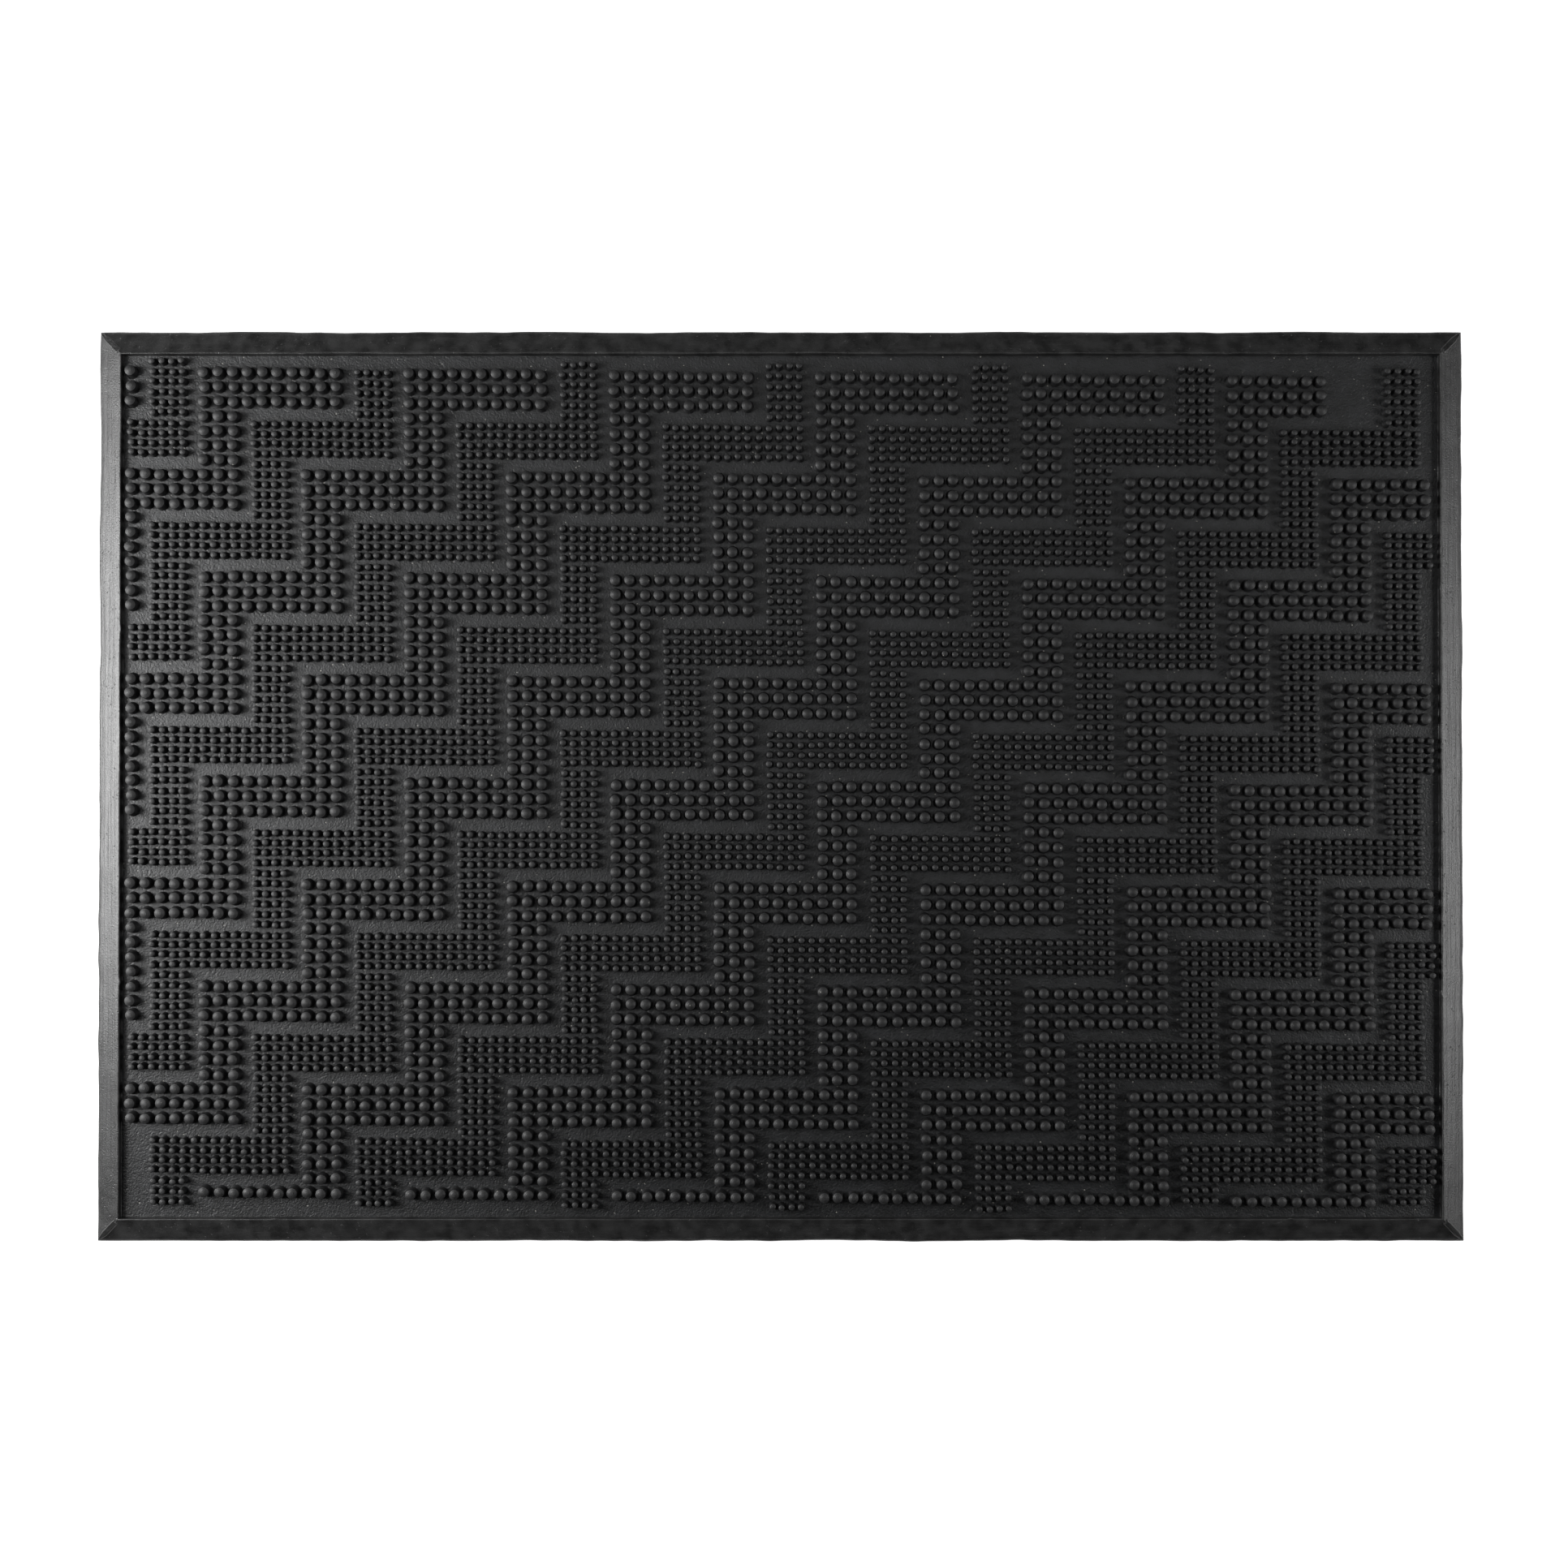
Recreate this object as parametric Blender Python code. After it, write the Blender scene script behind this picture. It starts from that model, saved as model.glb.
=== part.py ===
"""Rubber pin mat for a doorway: a base sheet, a field of pins in two sizes, and a ramped border.

The pins stand in staircase bands that run from the back right to the front left, a band of
large pins and a band of small pins in turn. The real mat has several thousand pins, so each
band is one solid block here, with the outline of its pins' feet and the height of their tips.
The four border strips are mitred at the corners and lap over the edge of the sheet.

The origin is at the middle of the underside, X runs along the mat, Y to its back edge, Z up.
"""

import math
from typing import NamedTuple

import bmesh
import bpy

MM = 0.001

# The whole mat.
MAT_LENGTH = 600 * MM
MAT_WIDTH = 400 * MM
FIT_GAP = 0.3 * MM

# The sheet that carries the pins.
SHEET_THICKNESS = 2.5 * MM

# The border strips: a ramp that is high at the inner wall and low at the outer edge.
BORDER_WIDTH = 10.6 * MM
BORDER_INNER_HEIGHT = 6.4 * MM
BORDER_OUTER_HEIGHT = 2.2 * MM
BORDER_ROUNDING = 0.9 * MM
BORDER_LAP = 4 * MM
ROUNDING_STEPS = 4

# The pins. The small grid's pitch is a share of the large one's, so that both keep in step.
LARGE_PITCH_X = 6.46 * MM
LARGE_PITCH_Y = 6.42 * MM
SMALL_PITCH_SHARE = 0.7
LARGE_FOOT_DIAMETER = 5.8 * MM
SMALL_FOOT_DIAMETER = 3.7 * MM
LARGE_PIN_HEIGHT = 5.5 * MM
SMALL_PIN_HEIGHT = 5.2 * MM

# The pattern: large pins from the first column to the middle of the mat, and from the first row.
COLUMNS_TO_MIDDLE = 39
ROWS_TO_MIDDLE = 28
SMALL_GRID_SHIFT = 3.56
FIRST_BAND_OFFSET = 2
FIELD_MARGIN = 4.4 * MM
PIN_TO_WALL = 3.0 * MM
PIN_TO_FRONT_WALL = 3.5 * MM

# The sheet lies a little askew in its border.
PATTERN_SHIFT_X = -1.2 * MM
ROW_SLOPE = math.radians(0.50)
COLUMN_LEAN = math.radians(0.21)


class PinKind(NamedTuple):
    """One size of pin, its grid, and the bars and uprights that make a staircase of it."""

    name: str
    pitch_x: float
    pitch_y: float
    start_x: float
    start_y: float
    bar_columns: int
    bar_rows: int
    upright_columns: int
    upright_rows: int
    foot_diameter: float
    height: float
    bare_spots: tuple


# A bare spot is (first column, last column, first row, last row) of a place with no pins.
LARGE = PinKind(
    name="large",
    pitch_x=LARGE_PITCH_X,
    pitch_y=LARGE_PITCH_Y,
    start_x=-COLUMNS_TO_MIDDLE * LARGE_PITCH_X,
    start_y=ROWS_TO_MIDDLE * LARGE_PITCH_Y,
    bar_columns=10,
    bar_rows=3,
    upright_columns=3,
    upright_rows=4,
    foot_diameter=LARGE_FOOT_DIAMETER,
    height=LARGE_PIN_HEIGHT,
    bare_spots=((77, 79, 0, 2), (-5, -5, 52, 56)),
)
SMALL = PinKind(
    name="small",
    pitch_x=LARGE_PITCH_X * SMALL_PITCH_SHARE,
    pitch_y=LARGE_PITCH_Y * SMALL_PITCH_SHARE,
    start_x=(SMALL_GRID_SHIFT - COLUMNS_TO_MIDDLE) * LARGE_PITCH_X,
    start_y=(ROWS_TO_MIDDLE - SMALL_GRID_SHIFT) * LARGE_PITCH_Y,
    bar_columns=14,
    bar_rows=4,
    upright_columns=4,
    upright_rows=6,
    foot_diameter=SMALL_FOOT_DIAMETER,
    height=SMALL_PIN_HEIGHT,
    bare_spots=((10, 13, -6, -6),),
)


def clear_scene():
    for obj in list(bpy.data.objects):
        bpy.data.objects.remove(obj)


def rubber(name, colour, roughness):
    material = bpy.data.materials.new(name)
    material.use_nodes = True
    shader = material.node_tree.nodes["Principled BSDF"]
    shader.inputs["Base Color"].default_value = (*colour, 1)
    shader.inputs["Roughness"].default_value = roughness
    shader.inputs["Metallic"].default_value = 0
    shader.inputs["IOR"].default_value = 1.52
    return material


def add_object(name, bm, material, parent):
    """Turns a finished bmesh into a scene object with this name and material."""
    bmesh.ops.recalc_face_normals(bm, faces=bm.faces)
    mesh = bpy.data.meshes.new(name)
    bm.to_mesh(mesh)
    bm.free()
    mesh.materials.append(material)
    obj = bpy.data.objects.new(name, mesh)
    obj.parent = parent
    bpy.context.scene.collection.objects.link(obj)
    return obj


def raise_faces(bm, height):
    """Thickens every flat face of the bmesh upwards into a closed block."""
    raised = bmesh.ops.extrude_face_region(bm, geom=bm.faces[:])["geom"]
    top = [item for item in raised if isinstance(item, bmesh.types.BMVert)]
    bmesh.ops.translate(bm, verts=top, vec=(0, 0, height))


# ---------------------------------------------------------------- the base sheet


def base_sheet(material, parent):
    """The plate under the pins. Its edge runs into the rebate of the border strips."""
    edge = BORDER_WIDTH - BORDER_LAP + FIT_GAP
    half_x = MAT_LENGTH / 2 - edge
    half_y = MAT_WIDTH / 2 - edge
    bm = bmesh.new()
    outline = ((-half_x, -half_y), (half_x, -half_y), (half_x, half_y), (-half_x, half_y))
    bm.faces.new([bm.verts.new((x, y, 0)) for x, y in outline])
    raise_faces(bm, SHEET_THICKNESS)
    return add_object("base_sheet", bm, material, parent)


# ---------------------------------------------------------------- the border


def border_profile():
    """The strip's cross-section as (distance from the outer edge, height) points."""
    slope = math.atan2(BORDER_INNER_HEIGHT - BORDER_OUTER_HEIGHT, BORDER_WIDTH)
    lap_height = SHEET_THICKNESS + FIT_GAP
    # The rounding starts square to the ramp and ends square to the inner wall.
    centre_y = BORDER_WIDTH - BORDER_ROUNDING
    ramp_height = BORDER_OUTER_HEIGHT + centre_y * math.tan(slope)
    centre_z = ramp_height - BORDER_ROUNDING / math.cos(slope)
    points = [(0, 0), (0, BORDER_OUTER_HEIGHT)]
    for step in range(ROUNDING_STEPS + 1):
        angle = (math.pi / 2 + slope) * (1 - step / ROUNDING_STEPS)
        y = centre_y + BORDER_ROUNDING * math.cos(angle)
        z = centre_z + BORDER_ROUNDING * math.sin(angle)
        points.append((y, z))
    points.append((BORDER_WIDTH, lap_height))
    points.append((BORDER_WIDTH - BORDER_LAP, lap_height))
    points.append((BORDER_WIDTH - BORDER_LAP, 0))
    return points


def border_strip(name, length, place, turn, material, parent):
    """One strip along its own X, its outer edge on Y = 0, its ends mitred at 45 degrees."""
    mitre_trim = FIT_GAP / math.sqrt(2)
    bm = bmesh.new()
    ends = []
    for side in (-1, 1):
        ring = []
        for y, z in border_profile():
            x = side * (length / 2 - y - mitre_trim)
            ring.append(bm.verts.new((x, y, z)))
        ends.append(ring)
        bm.faces.new(ring)
    first, last = ends
    for index in range(len(first)):
        bm.faces.new((first[index - 1], first[index], last[index], last[index - 1]))
    strip = add_object(name, bm, material, parent)
    strip.location = (*place, 0)
    strip.rotation_euler.z = math.radians(turn)
    return strip


def border(material, parent):
    half_x = MAT_LENGTH / 2
    half_y = MAT_WIDTH / 2
    border_strip("border_front", MAT_LENGTH, (0, -half_y), 0, material, parent)
    border_strip("border_back", MAT_LENGTH, (0, half_y), 180, material, parent)
    border_strip("border_left", MAT_WIDTH, (-half_x, 0), -90, material, parent)
    border_strip("border_right", MAT_WIDTH, (half_x, 0), 90, material, parent)


# ---------------------------------------------------------------- the pin bands


def laid(x, y):
    """Where a point of the moulded pattern lies on the mat, askew as the sheet is."""
    laid_x = PATTERN_SHIFT_X + x - y * math.tan(COLUMN_LEAN)
    laid_y = y - x * math.tan(ROW_SLOPE)
    return laid_x, laid_y


def pattern_place(kind, column, row):
    return kind.start_x + column * kind.pitch_x, kind.start_y - row * kind.pitch_y


def band_number(kind, column, row):
    """The staircase that has a pin at this column and row, or None on bare sheet.

    Each bar hangs an upright from its left end, and the next bar's right end sits below it.
    """
    step = kind.bar_columns - kind.upright_columns
    flight, row_in_flight = divmod(row, kind.bar_rows + kind.upright_rows)
    band, column_in_band = divmod(column + step * flight, 2 * step)
    in_bar = row_in_flight < kind.bar_rows and column_in_band < kind.bar_columns
    in_upright = row_in_flight >= kind.bar_rows and column_in_band < kind.upright_columns
    return band if in_bar or in_upright else None


def on_sheet(kind, column, row):
    """True if the sheet carries this pin: inside the moulded field, and clear of the border."""
    for first_column, last_column, first_row, last_row in kind.bare_spots:
        if first_column <= column <= last_column and first_row <= row <= last_row:
            return False
    x, y = pattern_place(kind, column, row)
    laid_x, laid_y = laid(x, y)
    wall_x = MAT_LENGTH / 2 - BORDER_WIDTH
    wall_y = MAT_WIDTH / 2 - BORDER_WIDTH
    in_field = abs(y) <= wall_y - FIELD_MARGIN
    clear_of_sides = abs(laid_x) <= wall_x - PIN_TO_WALL
    clear_of_ends = PIN_TO_FRONT_WALL - wall_y <= laid_y <= wall_y - PIN_TO_WALL
    return in_field and clear_of_sides and clear_of_ends


def bands_of(kind):
    """The (column, row) places of the pins in each staircase, by its number."""
    columns = math.ceil(MAT_LENGTH / kind.pitch_x)
    rows = math.ceil(MAT_WIDTH / kind.pitch_y)
    bands = {}
    for row in range(-rows, rows):
        for column in range(-columns, columns):
            band = band_number(kind, column, row)
            if band is not None and on_sheet(kind, column, row):
                bands.setdefault(band, []).append((column, row))
    return bands


def joined_groups(places):
    """Splits a band's places into groups of pins that stand side by side."""
    groups = []
    waiting = sorted(places)
    while waiting:
        group = [waiting.pop(0)]
        for column, row in group:
            beside = ((column - 1, row), (column + 1, row), (column, row - 1), (column, row + 1))
            for place in beside:
                if place in waiting:
                    waiting.remove(place)
                    group.append(place)
        groups.append(group)
    return groups


def band_block(name, kind, places, material, parent):
    """A staircase block round the pins at these places, as tall as their tips."""
    bm = bmesh.new()
    corners = {}

    def corner(column, row):
        if (column, row) not in corners:
            x, y = pattern_place(kind, column - 0.5, row - 0.5)
            corners[column, row] = bm.verts.new((x, y, SHEET_THICKNESS + FIT_GAP))
        return corners[column, row]

    for column, row in places:
        below = (corner(column, row + 1), corner(column + 1, row + 1))
        above = (corner(column + 1, row), corner(column, row))
        bm.faces.new(below + above)
    # One face for the whole band, drawn in from the cells' edges to the outermost feet.
    straight = math.radians(1)
    bmesh.ops.dissolve_limit(bm, angle_limit=straight, verts=bm.verts[:], edges=bm.edges[:])
    trim = (min(kind.pitch_x, kind.pitch_y) - kind.foot_diameter) / 2
    rim = bmesh.ops.inset_region(
        bm, faces=bm.faces[:], thickness=trim, use_boundary=True, use_even_offset=True
    )
    bmesh.ops.delete(bm, geom=rim["faces"], context="FACES")
    for vert in bm.verts:
        vert.co.x, vert.co.y = laid(vert.co.x, vert.co.y)
    raise_faces(bm, kind.height - FIT_GAP)
    return add_object(name, bm, material, parent)


def pin_bands(kind, material, parent):
    """The bands of one size, numbered from the back left corner to the front right one.

    A band that the edge of the field cuts in two gives a block for each piece: 03, 03_2 and so on.
    """
    for band, places in bands_of(kind).items():
        for piece, group in enumerate(joined_groups(places), start=1):
            name = f"{kind.name}_pins_{band + FIRST_BAND_OFFSET:02d}"
            if piece > 1:
                name += f"_{piece}"
            band_block(name, kind, group, material, parent)


def build():
    clear_scene()
    mat = bpy.data.objects.new("door_mat", None)
    bpy.context.scene.collection.objects.link(mat)
    base_sheet(rubber("sheet_rubber", (0.030, 0.030, 0.032), 0.55), mat)
    border(rubber("border_rubber", (0.035, 0.035, 0.036), 0.50), mat)
    pin_rubber = rubber("pin_rubber", (0.040, 0.040, 0.042), 0.45)
    pin_bands(LARGE, pin_rubber, mat)
    pin_bands(SMALL, pin_rubber, mat)


build()
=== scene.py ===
# %% [markdown]
# # A rubber pin mat
#
# This door mat is one moulding of black rubber. Thousands of small pins stand up from a
# thin sheet and brush the dirt off a shoe, and the dirt falls between them. A sloping
# border runs round the sheet so that nobody trips on its edge.
#
# The solid model gives the sizes and the places. This script stands the real pins where
# the solid model has plain blocks, shapes the border, and gives every surface its rubber.

import math

import bmesh
import bpy
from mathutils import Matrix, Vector, noise


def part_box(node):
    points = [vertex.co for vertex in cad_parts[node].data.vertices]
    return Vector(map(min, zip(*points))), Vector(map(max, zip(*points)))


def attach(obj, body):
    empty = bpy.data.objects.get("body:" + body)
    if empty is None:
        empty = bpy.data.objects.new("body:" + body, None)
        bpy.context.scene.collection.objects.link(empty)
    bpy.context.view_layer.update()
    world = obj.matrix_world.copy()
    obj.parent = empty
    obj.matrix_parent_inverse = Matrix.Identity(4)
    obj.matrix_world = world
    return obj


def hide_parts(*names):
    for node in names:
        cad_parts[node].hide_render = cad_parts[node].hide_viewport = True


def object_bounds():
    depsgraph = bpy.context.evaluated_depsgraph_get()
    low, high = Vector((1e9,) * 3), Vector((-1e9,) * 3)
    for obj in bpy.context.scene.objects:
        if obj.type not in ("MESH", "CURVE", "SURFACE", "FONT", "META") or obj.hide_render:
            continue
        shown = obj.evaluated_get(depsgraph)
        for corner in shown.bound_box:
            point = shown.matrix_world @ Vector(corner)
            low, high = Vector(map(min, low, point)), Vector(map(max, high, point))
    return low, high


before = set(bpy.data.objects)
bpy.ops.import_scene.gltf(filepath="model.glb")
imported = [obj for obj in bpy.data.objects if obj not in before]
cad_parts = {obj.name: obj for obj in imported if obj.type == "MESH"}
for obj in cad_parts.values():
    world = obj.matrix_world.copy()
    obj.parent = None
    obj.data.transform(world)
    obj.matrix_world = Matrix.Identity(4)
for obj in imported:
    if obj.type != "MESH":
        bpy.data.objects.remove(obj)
cad_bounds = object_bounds()
MM = 0.001

mat_low, mat_high = cad_bounds
mat_size = mat_high - mat_low
print(f"mat {mat_size.x / MM:.0f} x {mat_size.y / MM:.0f} x {mat_size.z / MM:.1f} mm")

# %% [markdown]
# ## A few helpers
#
# Shaders work in linear light, while colours are usually given as sRGB hex values, as in
# a paint program. One function turns the second into the first.
#
# Every node in this script, in a material or in a geometry tree, is added by one other
# function. It takes the node's settings, and for each input a value or the output of
# another node.
#
# The last helpers turn points and faces into a mesh, and put it into the scene.


# %% Colour, node and mesh helpers
def srgb(hex_colour):
    """An sRGB hex colour as the linear RGBA that a shader takes."""
    channels = [int(hex_colour[start : start + 2], 16) / 255 for start in (1, 3, 5)]
    linear = [c / 12.92 if c <= 0.04045 else ((c + 0.055) / 1.055) ** 2.4 for c in channels]
    return (*linear, 1)


def node(tree, kind, inputs=None, **settings):
    """Adds a node. An input takes a value, or the node or output socket that feeds it."""
    new = tree.nodes.new(kind)
    for name, value in settings.items():
        setattr(new, name, value)
    for socket, value in (inputs or {}).items():
        if isinstance(value, bpy.types.Node):
            value = value.outputs[0]
        if isinstance(value, bpy.types.NodeSocket):
            tree.links.new(value, new.inputs[socket])
        else:
            new.inputs[socket].default_value = value
    return new


def finished_mesh(bm, name):
    """The mesh of a finished bmesh, which is freed."""
    mesh = bpy.data.meshes.new(name)
    bm.to_mesh(mesh)
    bm.free()
    return mesh


def add_object(name, data):
    """Puts a mesh, a lamp or a camera into the scene."""
    new = bpy.data.objects.new(name, data)
    bpy.context.scene.collection.objects.link(new)
    return new


print("black rubber in linear light:", [round(c, 4) for c in srgb("#1b1b1c")])

# %% [markdown]
# ## The rubber
#
# The whole mat is vulcanised rubber filled with carbon black, pressed in a steel mould.
# The carbon makes it nearly black, and the skin that the mould leaves has a satin sheen,
# so most of what the eye sees is mirrored light, broken up by the grain of the skin.
# A flat black would look like a hole.
#
# One recipe serves all three parts. Two greys mottle the skin. A fine noise is the grain
# of the blasted mould, drawn as relief and as a change in gloss. A few pale grains of
# dust sit on it, because rubber always holds some.


# %% One recipe for moulded rubber
RUBBER_IOR = 1.52
MOTTLE_SIZE = 6 * MM
MOTTLE_RANGE = (0.35, 0.68)
GLOSSIER = 0.06
DULLER = 0.08
DUST_SPACING = 3 * MM
DUST_RADIUS = 0.27 * MM
DUST_COLOUR = "#77756f"


def moulded_rubber(name, dark, pale, roughness, grain_size, grain_depth, dustiness):
    """Black rubber with a mould's grain. Returns its material, object coordinates and bump."""
    material = bpy.data.materials.new(name)
    material.use_nodes = True
    tree = material.node_tree
    shader = tree.nodes["Principled BSDF"]
    shader.inputs["IOR"].default_value = RUBBER_IOR
    place = node(tree, "ShaderNodeTexCoord").outputs["Object"]

    mottle = node(
        tree, "ShaderNodeTexNoise", {"Vector": place, "Scale": 1 / MOTTLE_SIZE, "Detail": 5.0}
    )
    grain = node(
        tree, "ShaderNodeTexNoise", {"Vector": place, "Scale": 1 / grain_size, "Detail": 3.0}
    )
    greys = node(tree, "ShaderNodeValToRGB", {"Fac": mottle})
    for stop, position, grey in zip(greys.color_ramp.elements, MOTTLE_RANGE, (dark, pale)):
        stop.position = position
        stop.color = srgb(grey)

    # A grain of dust is where the skin passes close to a scattered point.
    dust = node(tree, "ShaderNodeTexVoronoi", {"Vector": place, "Scale": 1 / DUST_SPACING})
    near = node(
        tree,
        "ShaderNodeMath",
        {0: dust.outputs["Distance"], 1: DUST_RADIUS / DUST_SPACING},
        operation="LESS_THAN",
    )
    chosen = node(
        tree,
        "ShaderNodeMath",
        {0: dust.outputs["Color"], 1: 1 - dustiness},
        operation="GREATER_THAN",
    )
    speck = node(tree, "ShaderNodeMath", {0: near, 1: chosen}, operation="MULTIPLY")
    colour = node(
        tree,
        "ShaderNodeMix",
        {0: speck, 6: greys.outputs["Color"], 7: srgb(DUST_COLOUR)},
        data_type="RGBA",
    )
    tree.links.new(colour.outputs[2], shader.inputs["Base Color"])

    gloss = node(
        tree,
        "ShaderNodeMapRange",
        {"Value": grain, "From Min": 0.3, "From Max": 0.7,
         "To Min": roughness - GLOSSIER, "To Max": roughness + DULLER},
    )
    tree.links.new(gloss.outputs[0], shader.inputs["Roughness"])
    bump = node(tree, "ShaderNodeBump", {"Height": grain, "Distance": grain_depth})
    tree.links.new(bump.outputs["Normal"], shader.inputs["Normal"])
    return material, place, bump


print("recipe ready, dust about every", round(DUST_SPACING / MM), "mm in depth")

# %% [markdown]
# ## The skin of the sheet
#
# The sheet is the floor of the mould, so its skin is coarser than the rest: fine wrinkles
# where the rubber flowed, and small pits where air was caught. The pits are a second
# Voronoi pattern that pushes the relief down near scattered points.


# %% Pits, and the sheet's rubber
def pits(tree, place, spacing, inner, outer, depth):
    """A bump with a pit near each scattered point. inner and outer are shares of the spacing."""
    scatter = node(tree, "ShaderNodeTexVoronoi", {"Vector": place, "Scale": 1 / spacing})
    sunk = node(
        tree,
        "ShaderNodeMapRange",
        {"Value": scatter.outputs["Distance"], "From Min": inner, "From Max": outer,
         "To Min": -1.0, "To Max": 0.0},
    )
    return node(tree, "ShaderNodeBump", {"Height": sunk, "Distance": depth})


WRINKLE_SIZE = 2.4 * MM
WRINKLE_DEPTH = 0.15 * MM

sheet_rubber, place, grain_bump = moulded_rubber(
    "sheet_rubber_moulded",
    dark="#090a0b",
    pale="#18191b",
    roughness=0.42,
    grain_size=0.7 * MM,
    grain_depth=0.16 * MM,
    dustiness=0.5,
)
tree = sheet_rubber.node_tree
wrinkles = node(
    tree,
    "ShaderNodeTexNoise",
    {"Vector": place, "Scale": 1 / WRINKLE_SIZE, "Detail": 2.0, "Distortion": 1.5},
)
pit_bump = pits(tree, place, spacing=3.0 * MM, inner=0.0, outer=0.22, depth=0.08 * MM)
wrinkle_bump = node(
    tree,
    "ShaderNodeBump",
    {"Height": wrinkles, "Distance": WRINKLE_DEPTH, "Normal": pit_bump},
)
tree.links.new(wrinkle_bump.outputs[0], grain_bump.inputs["Normal"])
print(sheet_rubber.name, len(tree.nodes), "nodes")

# %% [markdown]
# ## The skin of the border
#
# The border is the part that catches the light, so its skin shows the most. The rubber
# flowed along the strips while it was soft, and left shallow streaks along them. These
# follow each strip's own UV map, which is laid out in metres along and across the strip.
# Small pits are scattered over it.

# %% Border rubber
STREAK_LENGTH = 45 * MM
STREAK_WIDTH = 1.6 * MM
STREAK_DEPTH = 0.24 * MM

border_rubber, place, grain_bump = moulded_rubber(
    "border_rubber_moulded",
    dark="#161616",
    pale="#2e2e2e",
    roughness=0.37,
    grain_size=0.6 * MM,
    grain_depth=0.10 * MM,
    dustiness=0.04,
)
tree = border_rubber.node_tree
strip_map = node(tree, "ShaderNodeUVMap", uv_map="along_strip")
stretched = node(
    tree,
    "ShaderNodeMapping",
    {"Vector": strip_map, "Scale": (1 / STREAK_LENGTH, 1 / STREAK_WIDTH, 1.0)},
)
streaks = node(tree, "ShaderNodeTexNoise", {"Vector": stretched, "Scale": 1.0, "Detail": 3.0})
streak_bump = node(tree, "ShaderNodeBump", {"Height": streaks, "Distance": STREAK_DEPTH})
pit_bump = pits(tree, place, spacing=2.6 * MM, inner=0.06, outer=0.16, depth=0.09 * MM)
tree.links.new(streak_bump.outputs[0], pit_bump.inputs["Normal"])
tree.links.new(pit_bump.outputs[0], grain_bump.inputs["Normal"])
print(border_rubber.name, len(tree.nodes), "nodes")

# %% [markdown]
# ## The skin of the pins
#
# The holes that form the pins were turned on a lathe or drilled, and the tool left fine
# rings at the bottom of each hole. The rubber copies them, so a pin's head shows faint
# circles about 0.7 mm apart. Each point of a pin carries a value for this: how far it is
# from the pin's own axis.

# %% Pin rubber
RING_SPACING = 0.7 * MM
RING_DEPTH = 0.02 * MM

pin_rubber, place, grain_bump = moulded_rubber(
    "pin_rubber_moulded",
    dark="#111112",
    pale="#1c1c1d",
    roughness=0.56,
    grain_size=0.8 * MM,
    grain_depth=0.05 * MM,
    dustiness=0.15,
)
tree = pin_rubber.node_tree
from_axis = node(tree, "ShaderNodeAttribute", attribute_name="from_axis")
turns = node(
    tree,
    "ShaderNodeMath",
    {0: from_axis.outputs["Fac"], 1: 2 * math.pi / RING_SPACING},
    operation="MULTIPLY",
)
rings = node(tree, "ShaderNodeMath", {0: turns}, operation="SINE")
ring_bump = node(tree, "ShaderNodeBump", {"Height": rings, "Distance": RING_DEPTH})
tree.links.new(ring_bump.outputs[0], grain_bump.inputs["Normal"])
print(pin_rubber.name, len(tree.nodes), "nodes")

# %% [markdown]
# ## One pin
#
# A pin is a tapered post with a rounded head and a foot that flares into the sheet. One
# way to make it is to spin a profile. Here a cylinder with seven rings of points is shaped
# instead, inside the tree that places the pins: four curves give each ring its height and
# its radius. The whole pin has only about seventy faces, because the mat has thousands.
#
# The curves are shares, so that one tree serves both sizes. A ring's height is one share of
# the shaft plus one share of the domed head, and its radius is one share of the head's
# radius plus one share of the foot's flare.

# %% A pin's profile
# Each line is one ring: shares of the shaft, the dome, the head's radius and the flare.
PIN_RINGS = (
    (0.00, 0.00, 1.00, 1.00),
    (0.05, 0.00, 1.00, 0.66),
    (0.14, 0.00, 1.00, 0.46),
    (0.95, 0.00, 1.00, 0.05),
    (1.00, 0.00, 0.96, 0.00),
    (1.00, 0.64, 0.60, 0.00),
    (1.00, 0.96, 0.22, 0.00),
)
HEAD_RIM = 4


def ring_curve(tree, along, column):
    """A float curve through one column of the pin's rings, straight from ring to ring."""
    curve_node = node(tree, "ShaderNodeFloatCurve", {"Value": along})
    curve = curve_node.mapping.curves[0]
    last = len(PIN_RINGS) - 1
    for _ in range(last - 1):
        curve.points.new(0.5, 0.5)
    for index, ring in enumerate(PIN_RINGS):
        curve.points[index].location = (index / last, ring[column])
        curve.points[index].handle_type = "VECTOR"
    curve_node.mapping.update()
    return curve_node


print("a pin has", len(PIN_RINGS), "rings")

# %% [markdown]
# ## Standing the pins
#
# The pins stand on a nearly square grid that fills staircase bands. Copying the pins by hand
# would take thousands of numbers. Instead a geometry tree lays the whole grid of points
# under the mat, shoots a ray up from each point, and keeps the points whose ray meets the
# band's block in the solid model. What is left gets a pin.
#
# The sheet was laid a little askew in its border, so the grid is sheared by a fraction of
# a degree, as it is in the solid model. At the left end the columns are drawn in from the
# border, by up to 0.8 mm at the very edge. The small pins stand a little closer together
# across their bands than along them. The solid model leaves both of these out. Rubber pins
# never stand quite straight, so each one leans, turns and shifts a little, at random but
# the same every time.

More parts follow.
